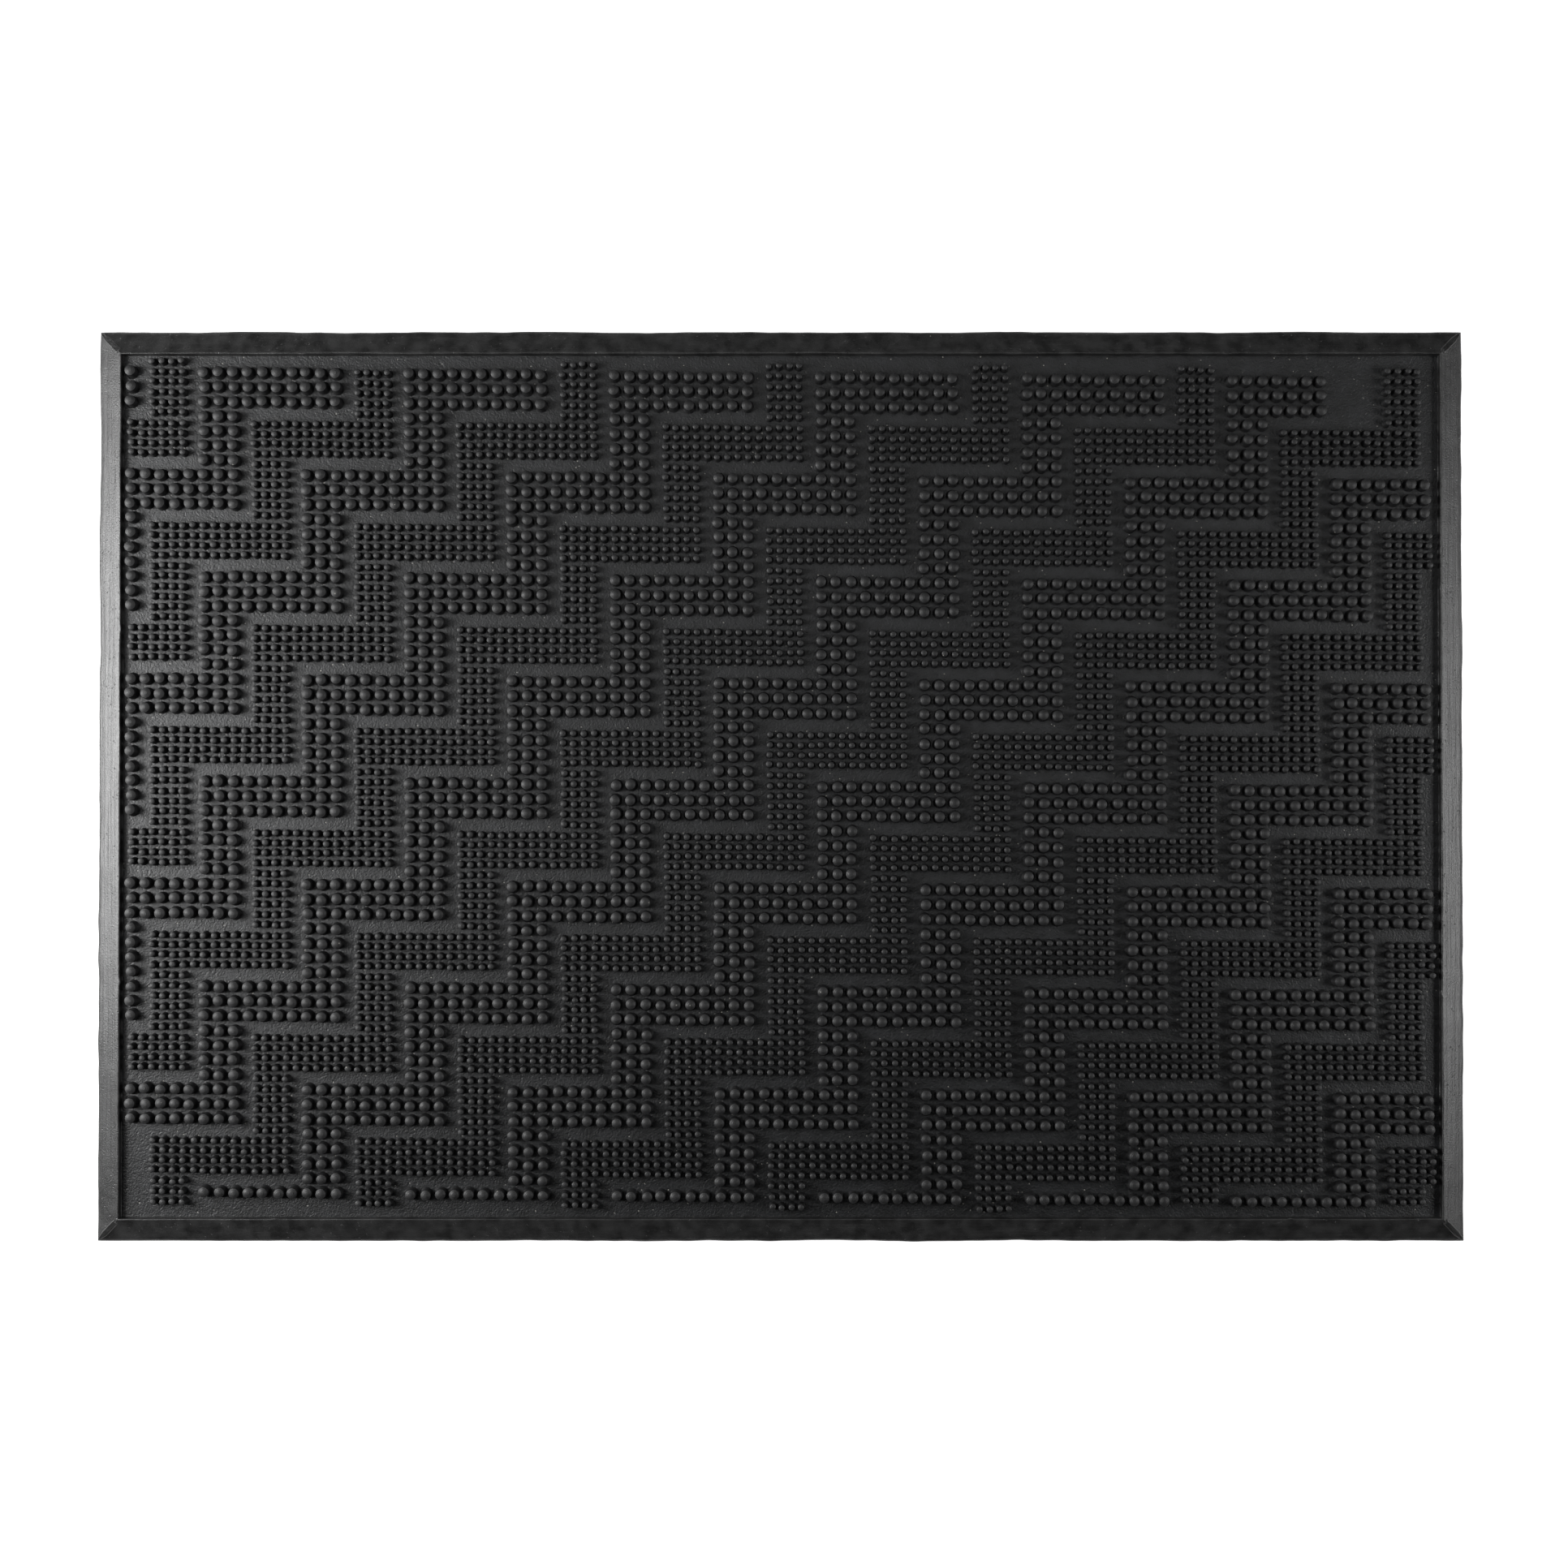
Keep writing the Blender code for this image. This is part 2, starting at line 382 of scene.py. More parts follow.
# %% The tree that stands the pins
PIN_INPUTS = (
    ("Columns", "NodeSocketInt"),
    ("Rows", "NodeSocketInt"),
    ("Pitch X", "NodeSocketFloat"),
    ("Pitch Y", "NodeSocketFloat"),
    ("First X", "NodeSocketFloat"),
    ("First Y", "NodeSocketFloat"),
    ("Shift X", "NodeSocketFloat"),
    ("Shift Y", "NodeSocketFloat"),
    ("Row Slope", "NodeSocketFloat"),
    ("Column Lean", "NodeSocketFloat"),
    ("Squeeze", "NodeSocketFloat"),
    ("Gather", "NodeSocketFloat"),
    ("Gather Start", "NodeSocketFloat"),
    ("Gather Reach", "NodeSocketFloat"),
    ("Seat Height", "NodeSocketFloat"),
    ("Pin Height", "NodeSocketFloat"),
    ("Dome Height", "NodeSocketFloat"),
    ("Head Radius", "NodeSocketFloat"),
    ("Foot Radius", "NodeSocketFloat"),
    ("Sides", "NodeSocketInt"),
    ("Wobble", "NodeSocketFloat"),
    ("Lean", "NodeSocketFloat"),
    ("Seed", "NodeSocketInt"),
    ("Material", "NodeSocketMaterial"),
)
pin_tree = bpy.data.node_groups.new("stand_pins", "GeometryNodeTree")
pin_tree.interface.new_socket("Geometry", in_out="INPUT", socket_type="NodeSocketGeometry")
pin_tree.interface.new_socket("Geometry", in_out="OUTPUT", socket_type="NodeSocketGeometry")
for input_name, kind in PIN_INPUTS:
    pin_tree.interface.new_socket(input_name, in_out="INPUT", socket_type=kind)
given = node(pin_tree, "NodeGroupInput").outputs
print("the tree takes", len(PIN_INPUTS), "values")


# %% The pin inside the tree
def maths(operation, first, second=0.0, third=0.0):
    """One step of arithmetic in the pin tree."""
    step = node(pin_tree, "ShaderNodeMath", {0: first, 1: second, 2: third}, operation=operation)
    return step.outputs[0]


post = node(
    pin_tree,
    "GeometryNodeMeshCylinder",
    {"Vertices": given["Sides"], "Side Segments": len(PIN_RINGS) - 1, "Fill Segments": 1,
     "Radius": 1.0, "Depth": 1.0},
    fill_type="NGON",
)
post_point = node(pin_tree, "GeometryNodeInputPosition")
post_place = node(pin_tree, "ShaderNodeSeparateXYZ", {0: post_point})
along = maths("ADD", post_place.outputs["Z"], 0.5)
shaft = maths("SUBTRACT", given["Pin Height"], given["Dome Height"])
dome_part = maths("MULTIPLY", ring_curve(pin_tree, along, 1), given["Dome Height"])
height = maths("MULTIPLY_ADD", ring_curve(pin_tree, along, 0), shaft, dome_part)
flare = maths("SUBTRACT", given["Foot Radius"], given["Head Radius"])
head_part = maths("MULTIPLY", ring_curve(pin_tree, along, 2), given["Head Radius"])
radius = maths("MULTIPLY_ADD", ring_curve(pin_tree, along, 3), flare, head_part)
shaped_place = node(
    pin_tree,
    "ShaderNodeCombineXYZ",
    {"X": maths("MULTIPLY", post_place.outputs["X"], radius),
     "Y": maths("MULTIPLY", post_place.outputs["Y"], radius), "Z": height},
)
# The rim of the head stays a crisp edge in the smooth shading.
rim = node(
    pin_tree,
    "FunctionNodeCompare",
    {0: along, 1: HEAD_RIM / (len(PIN_RINGS) - 1), "Epsilon": 0.02},
    data_type="FLOAT",
    operation="EQUAL",
)
creased = node(
    pin_tree,
    "GeometryNodeStoreNamedAttribute",
    {"Geometry": post.outputs["Mesh"], "Name": "sharp_edge", "Value": rim},
    data_type="BOOLEAN",
    domain="EDGE",
)
pin = node(pin_tree, "GeometryNodeSetPosition", {"Geometry": creased, "Position": shaped_place})
across = node(
    pin_tree,
    "ShaderNodeVectorMath",
    {0: node(pin_tree, "GeometryNodeInputPosition"), 1: (1.0, 1.0, 0.0)},
    operation="MULTIPLY",
)
axis_distance = node(pin_tree, "ShaderNodeVectorMath", {0: across}, operation="LENGTH")
pin = node(
    pin_tree,
    "GeometryNodeStoreNamedAttribute",
    {"Geometry": pin, "Name": "from_axis", "Value": axis_distance.outputs["Value"]},
    data_type="FLOAT",
    domain="POINT",
)
pin = node(pin_tree, "GeometryNodeSetShadeSmooth", {0: pin, "Shade Smooth": True})
print("the pin takes", len(pin_tree.nodes), "nodes so far")

# %% The grid of points, laid askew and kept only under the block
# A small band is four pins wide. It runs in flights of ten rows and steps ten columns aside.
SMALL_BAND_WIDTH = 4
SMALL_FLIGHT_ROWS = 10
SMALL_BAND_STEP = 10
SMALL_FIRST_COLUMN = 3
RAY_LENGTH = 100 * MM

index = node(pin_tree, "GeometryNodeInputIndex")
column = maths("MODULO", index, given["Columns"])
row = maths("FLOOR", maths("DIVIDE", index, given["Columns"]))
grid_x = maths("MULTIPLY_ADD", column, given["Pitch X"], given["First X"])
grid_y = maths("SUBTRACT", given["First Y"], maths("MULTIPLY", row, given["Pitch Y"]))

# The small bands are squeezed across: the rows of a bar, and the columns of an upright.
row_in_flight = maths("MODULO", row, SMALL_FLIGHT_ROWS)
in_bar = maths("LESS_THAN", row_in_flight, SMALL_BAND_WIDTH)
column_in_band = maths("MODULO", maths("ADD", column, SMALL_FIRST_COLUMN), SMALL_BAND_STEP)
middle = (SMALL_BAND_WIDTH - 1) / 2
rows_off = maths("MULTIPLY", maths("SUBTRACT", row_in_flight, middle), in_bar)
in_upright = maths("SUBTRACT", 1.0, in_bar)
columns_off = maths("MULTIPLY", maths("SUBTRACT", column_in_band, middle), in_upright)
grid_x = maths("SUBTRACT", grid_x, maths("MULTIPLY", columns_off, given["Squeeze"]))
grid_y = maths("MULTIPLY_ADD", rows_off, given["Squeeze"], grid_y)

laid_x = maths("ADD", grid_x, given["Shift X"])
laid_x = maths("SUBTRACT", laid_x, maths("MULTIPLY", grid_y, given["Column Lean"]))
laid_y = maths("SUBTRACT", grid_y, maths("MULTIPLY", grid_x, given["Row Slope"]))
points = node(
    pin_tree,
    "GeometryNodePoints",
    {"Count": maths("MULTIPLY", given["Columns"], given["Rows"]),
     "Position": node(pin_tree, "ShaderNodeCombineXYZ", {"X": laid_x, "Y": laid_y, "Z": 0.0})},
)
ray = node(
    pin_tree,
    "GeometryNodeRaycast",
    {"Target Geometry": given["Geometry"], "Ray Direction": (0.0, 0.0, 1.0),
     "Ray Length": RAY_LENGTH},
)
kept = node(
    pin_tree,
    "GeometryNodeSeparateGeometry",
    {"Geometry": points, "Selection": ray.outputs["Is Hit"]},
    domain="POINT",
)
print("rays up from the grid choose where the pins stand")

# %% A pin on each kept point
TURN_SEED_OFFSET = 100
SWELL_SEED_OFFSET = 200
LEAST_SWELL = (0.95, 0.95, 0.97)
MOST_SWELL = (1.04, 1.04, 1.0)


def vector(x, y, z=0.0):
    """Three values as one vector in the pin tree."""
    return node(pin_tree, "ShaderNodeCombineXYZ", {"X": x, "Y": y, "Z": z})


def drawn(least, most, seed):
    """A random vector between two others, drawn anew for every pin."""
    return node(
        pin_tree,
        "FunctionNodeRandomValue",
        {0: least, 1: most, "Seed": seed},
        data_type="FLOAT_VECTOR",
    )


back_wobble = maths("MULTIPLY", given["Wobble"], -1.0)
wobble = drawn(
    vector(back_wobble, back_wobble), vector(given["Wobble"], given["Wobble"]), given["Seed"]
)
# Past the gather's start the columns are drawn in, the more the nearer they are to the end.
point = node(pin_tree, "GeometryNodeInputPosition")
spot = node(pin_tree, "ShaderNodeSeparateXYZ", {0: point})
past_start = maths("SUBTRACT", given["Gather Start"], spot.outputs["X"])
into_end = maths("MAXIMUM", maths("DIVIDE", past_start, given["Gather Reach"]), 0.0)
gathered = maths("MULTIPLY", given["Gather"], into_end)
seat = vector(gathered, given["Shift Y"], given["Seat Height"])
offset = node(pin_tree, "ShaderNodeVectorMath", {0: wobble, 1: seat}, operation="ADD")
seated = node(pin_tree, "GeometryNodeSetPosition", {"Geometry": kept, "Offset": offset})
back_lean = maths("MULTIPLY", given["Lean"], -1.0)
turn = drawn(
    vector(back_lean, back_lean),
    vector(given["Lean"], given["Lean"], math.tau),
    maths("ADD", given["Seed"], TURN_SEED_OFFSET),
)
swell = drawn(LEAST_SWELL, MOST_SWELL, maths("ADD", given["Seed"], SWELL_SEED_OFFSET))
standing = node(
    pin_tree,
    "GeometryNodeInstanceOnPoints",
    {"Points": seated, "Instance": pin, "Rotation": turn, "Scale": swell},
)
real = node(pin_tree, "GeometryNodeRealizeInstances", {0: standing})
finished = node(
    pin_tree, "GeometryNodeSetMaterial", {"Geometry": real, "Material": given["Material"]}
)
node(pin_tree, "NodeGroupOutput", {0: finished})
print("the whole tree has", len(pin_tree.nodes), "nodes")

# %% [markdown]
# ## The two sizes of pin
#
# Large pins stand 6.46 by 6.42 mm apart and small pins at seven tenths of that. The two
# grids start from different places. The large grid is the one of the solid model, and the
# small grid stands about half a millimetre further left and back than its blocks. What
# changes between the sizes is kept in one table, and the askew laying is shared.

# %% Sizes of the pins, and one band
sheet_low, sheet_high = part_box("base_sheet")
SHEET_TOP = sheet_high.z
FOOT_BURIED = 0.1 * MM
SMALL_SHARE = 0.7
BAND_SEED_STEP = 10
JOIN_DISTANCE = 0.01 * MM
LARGE_PITCH = Vector((6.46 * MM, 6.42 * MM))
SMALL_PITCH = SMALL_SHARE * LARGE_PITCH
PIN_SIZES = {
    "large": {
        "Columns": 95, "Rows": 61,
        "Pitch X": LARGE_PITCH.x, "Pitch Y": LARGE_PITCH.y,
        "First X": -47 * LARGE_PITCH.x, "First Y": 30 * LARGE_PITCH.y,
        "Pin Height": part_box("large_pins_05")[1].z - SHEET_TOP + FOOT_BURIED,
        "Dome Height": 0.72 * MM, "Head Radius": 2.28 * MM, "Foot Radius": 3.0 * MM, "Sides": 12,
        "Wobble": 0.30 * MM, "Squeeze": 0.0, "Seed": 5,
    },
    "small": {
        "Columns": 136, "Rows": 90,
        "Pitch X": SMALL_PITCH.x, "Pitch Y": SMALL_PITCH.y,
        "First X": -35.54 * LARGE_PITCH.x - 17 * SMALL_PITCH.x,
        "First Y": 24.54 * LARGE_PITCH.y + 10 * SMALL_PITCH.y,
        "Pin Height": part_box("small_pins_05")[1].z - SHEET_TOP + FOOT_BURIED,
        "Dome Height": 0.34 * MM, "Head Radius": 1.36 * MM, "Foot Radius": 1.90 * MM, "Sides": 10,
        "Wobble": 0.26 * MM, "Squeeze": 0.2 * MM, "Seed": 9,
    },
}
ASKEW = {
    "Shift X": -1.2 * MM, "Shift Y": -0.35 * MM, "Row Slope": math.tan(math.radians(0.50)),
    "Column Lean": math.tan(math.radians(0.21)),
    "Gather": 0.7 * MM, "Gather Start": -140 * MM, "Gather Reach": 130 * MM,
    "Seat Height": SHEET_TOP - FOOT_BURIED, "Lean": math.radians(2.6), "Material": pin_rubber,
}


def merged_copy(cad_node):
    """A copy of a solid with its loose triangles joined up."""
    bm = bmesh.new()
    bm.from_mesh(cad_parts[cad_node].data)
    bmesh.ops.remove_doubles(bm, verts=bm.verts, dist=JOIN_DISTANCE)
    name = cad_node + "_copy"
    return add_object(name, finished_mesh(bm, name))


def stand_pins(cad_node, values):
    """The real pins of one band, as one plain mesh that stands for the band's block."""
    block = merged_copy(cad_node)
    modifier = block.modifiers.new("stand_pins", "NODES")
    modifier.node_group = pin_tree
    for item in pin_tree.interface.items_tree:
        if item.in_out == "INPUT" and item.name in values:
            modifier[item.identifier] = values[item.name]
    graph = bpy.context.evaluated_depsgraph_get()
    mesh = bpy.data.meshes.new_from_object(block.evaluated_get(graph), depsgraph=graph)
    bpy.data.objects.remove(block)
    mesh.name = cad_node + "_moulded"
    pins = add_object(mesh.name, mesh)
    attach(pins, "root")
    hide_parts(cad_node)
    return pins


print("large pins", round(PIN_SIZES["large"]["Pin Height"] / MM, 2), "mm from root to tip")

# %% Stand every band
faces_per_pin = {
    kind: size["Sides"] * (len(PIN_RINGS) - 1) + 2 for kind, size in PIN_SIZES.items()
}
counts = {"large": 0, "small": 0}
band_nodes = sorted(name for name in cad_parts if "_pins_" in name)
for number, cad_node in enumerate(band_nodes):
    kind = cad_node.split("_")[0]
    values = {**PIN_SIZES[kind], **ASKEW}
    values["Seed"] += BAND_SEED_STEP * number
    pins = stand_pins(cad_node, values)
    counts[kind] += len(pins.data.polygons) // faces_per_pin[kind]
print("pins stood:", counts, "in", len(band_nodes), "bands")

# %% [markdown]
# ## The border strips
#
# Each strip is a ramp: low and rounded at the outside, where a foot meets it, and high at
# the inner wall, which keeps the dirt in. Its section never changes, so it could be swept
# along a curve, but a moulded edge is not that even. Here the section is repeated at many
# stations along the strip, and slow noise moves the edges in and out and the top up and
# down by a few tenths of a millimetre. The ends are mitred at 45 degrees.
#
# Small nubs stand on the inner edge where the mould let the air out.

# %% The section of a strip
BORDER_WIDTH = 10.6 * MM
OUTER_HEIGHT = 2.2 * MM
INNER_HEIGHT = 6.4 * MM
RAMP_RISE = (INNER_HEIGHT - OUTER_HEIGHT) / BORDER_WIDTH
LAP_EDGE = 6.85 * MM

# (distance from the outer edge, height), up the outer edge, over the ramp, down the wall.
SECTION = [
    (0.30 * MM, 0.0),
    (0.00 * MM, 0.35 * MM),
    (0.00 * MM, 1.30 * MM),
    (0.16 * MM, 1.85 * MM),
    (0.48 * MM, 2.22 * MM),
    (0.95 * MM, 2.52 * MM),
]
RAMP_STOPS = (1.9, 3.1, 4.4, 5.7, 7.0, 8.3, 9.5)
SECTION += [(y * MM, OUTER_HEIGHT + y * MM * RAMP_RISE) for y in RAMP_STOPS]
SECTION += [
    (10.10 * MM, 6.13 * MM),
    (10.38 * MM, 6.10 * MM),
    (10.55 * MM, 5.90 * MM),
    (10.60 * MM, 5.55 * MM),
    (10.60 * MM, 3.05 * MM),
    (10.66 * MM, 2.68 * MM),
    (10.80 * MM, 2.53 * MM),
    (LAP_EDGE, 2.53 * MM),
    (LAP_EDGE, 0.0),
]
STATION_SPACING = 1.6 * MM
print(len(SECTION), "points round the section")

# %% One strip
OUTER_DRIFT = 0.62 * MM
INNER_DRIFT = 0.20 * MM
TOP_DRIFT = 0.13 * MM
MITRE_FADE = 14 * MM
LAP_HEIGHT = 2.8 * MM
NUB_FOOT = 4.5 * MM
NUB_WIDTH = 0.9 * MM
NUB_REACH = 0.55 * MM
NUB_RISE = 0.25 * MM
CREASE_ANGLE = math.radians(50)


def waver(along, wavelength, seed, layer):
    """Slow noise along a strip. Each seed and layer gives its own."""
    return noise.noise((along / wavelength, seed, layer))


def strip_drift(along, seed):
    """Slow drifts of a strip at a place along it: outer edge, inner edge and top."""
    outer = waver(along, 42 * MM, seed, 0.0) + 0.4 * waver(along, 9 * MM, seed, 3.0)
    inner = waver(along, 30 * MM, seed, 7.0) + 0.5 * waver(along, 7 * MM, seed, 8.0)
    top = waver(along, 25 * MM, seed, 11.0)
    return OUTER_DRIFT * outer, INNER_DRIFT * inner, TOP_DRIFT * top


def drifted(along, y, z, half, seed, nubs):
    """A point of the section moved by the strip's drifts, which fade out at the mitres."""
    fade = min(1, (half - abs(along)) / MITRE_FADE)
    outer, inner, top = (fade * drift for drift in strip_drift(along, seed))
    across = y / BORDER_WIDTH
    # The wall moves with the inner edge, and the lap on the sheet stays where it is.
    above_lap = z > LAP_HEIGHT
    y += outer * (1 - across) ** 2 + inner * across**2 * (across > 0.7) * above_lap
    z += top * (z > 2 * MM) * (above_lap or across < 0.9)
    on_inner_edge = across > 0.9 and z > NUB_FOOT
    for nub in nubs:
        swell = math.exp(-(((along - nub) / NUB_WIDTH) ** 2)) * on_inner_edge
        y += NUB_REACH * swell
        z += NUB_RISE * swell
    return y, z


def border_strip(cad_node, length, place, seed, nubs):
    """A strip that stands for its solid. place turns (along, across, up) into a mat point."""
    half = length / 2
    stations = round(length / STATION_SPACING)
    bm = bmesh.new()
    along_strip = bm.loops.layers.uv.new("along_strip")
    walked = [0.0]
    for (y0, z0), (y1, z1) in zip(SECTION, SECTION[1:]):
        walked.append(walked[-1] + math.hypot(y1 - y0, z1 - z0))
    rings = []
    for station in range(stations + 1):
        share = 2 * station / stations - 1
        ring = []
        for y, z in SECTION:
            along = share * (half - y)
            moved_y, moved_z = drifted(along, y, z, half, seed, nubs)
            along = share * (half - moved_y)
            ring.append((bm.verts.new(place(along, moved_y, moved_z)), along))
        rings.append(ring)
    around = len(SECTION)
    for ring, after in zip(rings, rings[1:]):
        for index in range(around):
            following = (index + 1) % around
            corners = ((ring, index), (after, index), (after, following), (ring, following))
            face = bm.faces.new([which[spot][0] for which, spot in corners])
            face.smooth = True
            for loop, (which, spot) in zip(face.loops, corners):
                loop[along_strip].uv = (which[spot][1] + seed, walked[spot])
    for ring in (rings[0], rings[-1]):
        cap = bm.faces.new([vert for vert, _ in ring])
        for loop in cap.loops:
            loop[along_strip].uv = (seed, 0.0)
    bmesh.ops.recalc_face_normals(bm, faces=bm.faces)
    for edge in bm.edges:
        edge.smooth = len(edge.link_faces) == 2 and edge.calc_face_angle() < CREASE_ANGLE
    mesh = finished_mesh(bm, cad_node + "_moulded")
    mesh.materials.append(border_rubber)
    strip = add_object(cad_node + "_moulded", mesh)
    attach(strip, "root")
    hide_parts(cad_node)
    return strip


print("a strip has a station every", round(STATION_SPACING / MM, 1), "mm")

# %% The four strips
left, front, _ = mat_low
right, back, _ = mat_high
STRIPS = {
    "border_front": (mat_size.x, lambda a, y, z: (a, front + y, z), 1.0, (-221 * MM, 223 * MM)),
    "border_back": (mat_size.x, lambda a, y, z: (-a, back - y, z), 2.0, (210 * MM, -196 * MM)),
    "border_left": (mat_size.y, lambda a, y, z: (left + y, -a, z), 3.0, (-69 * MM, 86 * MM)),
    "border_right": (mat_size.y, lambda a, y, z: (right - y, a, z), 4.0, (87 * MM, -91 * MM)),
}
for cad_node, (length, place, seed, nubs) in STRIPS.items():
    strip = border_strip(cad_node, length, place, seed, nubs)
    print(strip.name, len(strip.data.polygons), "faces")

# %% [markdown]
# ## The welds at the corners
#
# Where two strips meet, rubber squeezed out of the joint between the mould's blocks and
# left a pair of fine ridges with a lower one between them. Each weld is a narrow band that
# lies on the hip of the two ramps, so its points follow the ramps down on either side.

# %% Corner welds
# (distance from the mitre's line, height above the ramps) across a weld.
WELD_SECTION = (
    (-1.60 * MM, -0.20 * MM),
    (-1.20 * MM, 0.10 * MM),
    (-0.80 * MM, 0.55 * MM),
    (-0.45 * MM, -0.05 * MM),
    (0.00 * MM, 0.30 * MM),
    (0.45 * MM, -0.08 * MM),
    (0.80 * MM, 0.52 * MM),
    (1.20 * MM, 0.08 * MM),
    (1.60 * MM, -0.20 * MM),
)
WELD_STEPS = 16
WELD_START = 0.8 * MM
WELD_RUN = 8.8 * MM
TAPER_STEPS = 5
WELD_UNEVENNESS = 0.5
WELD_DIP = 0.5 * MM
WELD_UNDERSIDE = 1.2 * MM


def corner_weld(name, corner, turn):
    """A weld from the outer corner to the inner one. turn is (x, y) signs towards the middle."""
    bm = bmesh.new()
    along_strip = bm.loops.layers.uv.new("along_strip")
    rows = []
    for step in range(WELD_STEPS + 1):
        inward = WELD_START + WELD_RUN * step / WELD_STEPS
        row = []
        # The weld starts at three tenths of its width.
        taper = min(1, 0.3 + 0.7 * step / TAPER_STEPS)
        for side, lift in WELD_SECTION:
            side *= taper
            uneven = 1 + WELD_UNEVENNESS * noise.noise((inward / (2 * MM), side / MM, corner.x))
            nearest = max(inward - abs(side) / math.sqrt(2), 0)
            ramp = OUTER_HEIGHT + nearest * RAMP_RISE
            # The band dips under the ramps at both of its ends.
            dip = WELD_DIP if step in (0, WELD_STEPS) else 0
            x = corner.x + turn[0] * (inward + side / math.sqrt(2))
            y = corner.y + turn[1] * (inward - side / math.sqrt(2))
            row.append(bm.verts.new((x, y, ramp + lift * uneven - dip)))
        ends = [row[-1].co.copy(), row[0].co.copy()]
        row += [bm.verts.new((end.x, end.y, WELD_UNDERSIDE)) for end in ends]
        rows.append(row)
    around = len(rows[0])
    for row, after in zip(rows, rows[1:]):
        for index in range(around):
            following = (index + 1) % around
            face = bm.faces.new((row[index], after[index], after[following], row[following]))
            face.smooth = index < len(WELD_SECTION) - 1
            for loop in face.loops:
                loop[along_strip].uv = (loop.vert.co.x, loop.vert.co.y)
    bm.faces.new(rows[0])
    bm.faces.new(rows[-1])
    bmesh.ops.recalc_face_normals(bm, faces=bm.faces)
    mesh = finished_mesh(bm, name)
    mesh.materials.append(border_rubber)
    weld = add_object(name, mesh)
    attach(weld, "root")
    return weld


for name, corner, turn in (
    ("weld_front_left", Vector((left, front)), (1, 1)),
    ("weld_front_right", Vector((right, front)), (-1, 1)),
    ("weld_back_left", Vector((left, back)), (1, -1)),
    ("weld_back_right", Vector((right, back)), (-1, -1)),
):
    weld = corner_weld(name, corner, turn)
    print(weld.name, len(weld.data.polygons), "faces")

# %% [markdown]
# ## The sheet
#
# The sheet's shape in the solid model is already right: a flat plate with its edges
# tucked under the border. It only needs its rubber.

# %% Dress the sheet
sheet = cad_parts["base_sheet"]
for slot in sheet.material_slots:
    slot.material = sheet_rubber
print("sheet", round((sheet_high.z - sheet_low.z) / MM, 1), "mm thick")

# %% [markdown]
# ## Floor, light and camera
#
# Black rubber on a white floor is a matter of mirrored light. Two soft boxes stand low at
# the left and the right, the left one nearer and stronger. The left ramp mirrors its box
# straight up to the camera and shines, the right ramp mirrors the weaker one, and the
# ramps at the front and back mirror the dark and stay black. A weak one overhead evens
# out the heads of the pins and lifts the darkest gaps between them. One more stands high
# at the left, where the flat sheet at the left end mirrors it to the camera.

# %% The floor
FLOOR_REACH = 4.0
FLOOR_DROP = 0.02 * MM
FLOOR_GLOW = 0.75

bm = bmesh.new()
corners = [(x * FLOOR_REACH, y * FLOOR_REACH) for x, y in ((-1, -1), (1, -1), (1, 1), (-1, 1))]
bm.faces.new([bm.verts.new((x, y, -FLOOR_DROP)) for x, y in corners])
floor_mesh = finished_mesh(bm, "studio_floor")
floor = add_object("studio_floor", floor_mesh)
floor_paint = bpy.data.materials.new("matt_white_paint")
floor_paint.use_nodes = True
floor_shader = floor_paint.node_tree.nodes["Principled BSDF"]
floor_shader.inputs["Base Color"].default_value = srgb("#f4f4f4")
floor_shader.inputs["Roughness"].default_value = 0.9
floor_shader.inputs["Emission Color"].default_value = srgb("#ffffff")
floor_shader.inputs["Emission Strength"].default_value = FLOOR_GLOW
floor_mesh.materials.append(floor_paint)
print("floor", 2 * FLOOR_REACH, "m wide")

# %% The soft boxes and the room's own light
ROOM_LIGHT = 0.004
ROOM_SEEN = 0.85
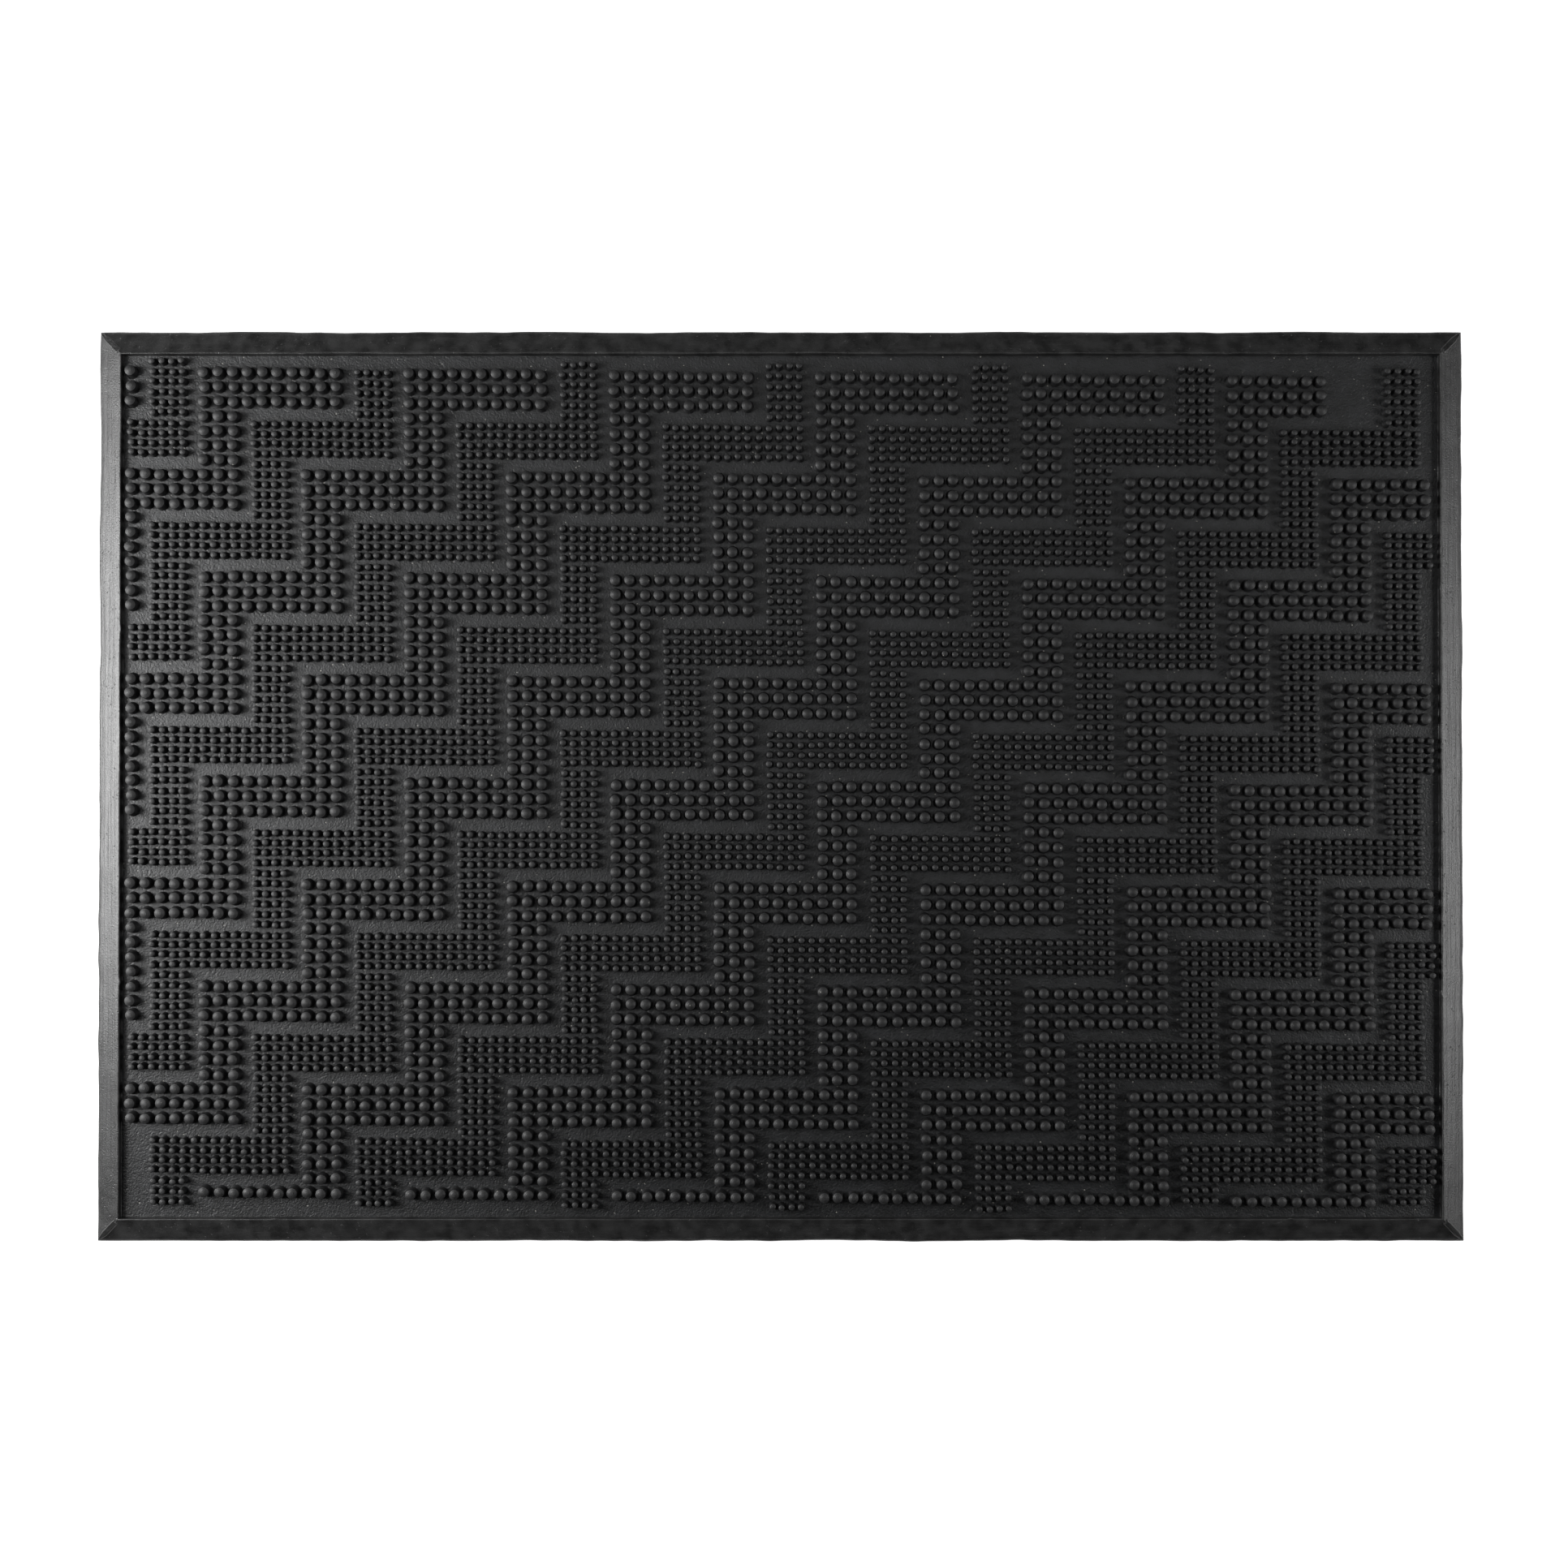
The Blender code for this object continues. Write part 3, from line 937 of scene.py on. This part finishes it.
# Name, place, the point it faces, width, height (all in metres) and watts.
SOFT_BOXES = (
    ("left_soft_box", (-0.70, 0.05, 0.38), (0, 0, 0), 0.34, 0.40, 7.8),
    ("right_soft_box", (0.85, -0.03, 0.50), (0, 0, 0), 0.42, 0.40, 4.4),
    ("overhead_soft_box", (0.05, 0.45, 1.25), (0.05, 0, 0), 1.0, 0.8, 1.9),
    ("high_left_soft_box", (-0.80, 0.05, 1.10), (-0.2, 0, 0), 0.3, 0.7, 3.4),
)


def soft_box(name, place, target, width, height, watts):
    """A rectangular lamp at a place, facing its target."""
    lamp = bpy.data.lights.new(name, "AREA")
    lamp.shape = "RECTANGLE"
    lamp.size = width
    lamp.size_y = height
    lamp.energy = watts
    box = add_object(name, lamp)
    box.location = place
    box.rotation_euler = (Vector(target) - Vector(place)).to_track_quat("-Z", "Y").to_euler()
    return box


for values in SOFT_BOXES:
    soft_box(*values)
# The camera sees the room as bright as the floor, and the mat gets almost no light from it.
room = bpy.data.worlds.new("dim_room")
room.use_nodes = True
backdrop = room.node_tree.nodes["Background"]
backdrop.inputs["Color"].default_value = srgb("#ffffff")
seen = node(room.node_tree, "ShaderNodeLightPath")
strength = node(
    room.node_tree,
    "ShaderNodeMapRange",
    {"Value": seen.outputs["Is Camera Ray"], "To Min": ROOM_LIGHT, "To Max": ROOM_SEEN},
)
room.node_tree.links.new(strength.outputs[0], backdrop.inputs["Strength"])
bpy.context.scene.world = room
print("lit by", len(SOFT_BOXES), "soft boxes")

# %% The camera, straight above
# It stands a little to the right of its aim and is tipped by a little over half a degree.
CAMERA_HEIGHT = 0.960
CAMERA_TIP = math.radians(0.6)
AIM_X = 1.4 * MM
AIM_Y = 0.7 * MM
OFF_RIGHT = 15 * MM

camera_data = bpy.data.cameras.new("overhead_camera")
camera_data.lens = 50
camera_data.sensor_width = 36
camera_data.clip_start = 0.01
camera_data.shift_x = -OFF_RIGHT / CAMERA_HEIGHT * camera_data.lens / camera_data.sensor_width
camera = add_object("overhead_camera", camera_data)
camera.location = (
    AIM_X + OFF_RIGHT,
    AIM_Y - CAMERA_HEIGHT * math.tan(CAMERA_TIP),
    CAMERA_HEIGHT,
)
camera.rotation_euler = (CAMERA_TIP, 0, 0)
bpy.context.scene.camera = camera
bpy.context.scene.view_settings.view_transform = "Standard"
print("camera", CAMERA_HEIGHT, "m above the floor")
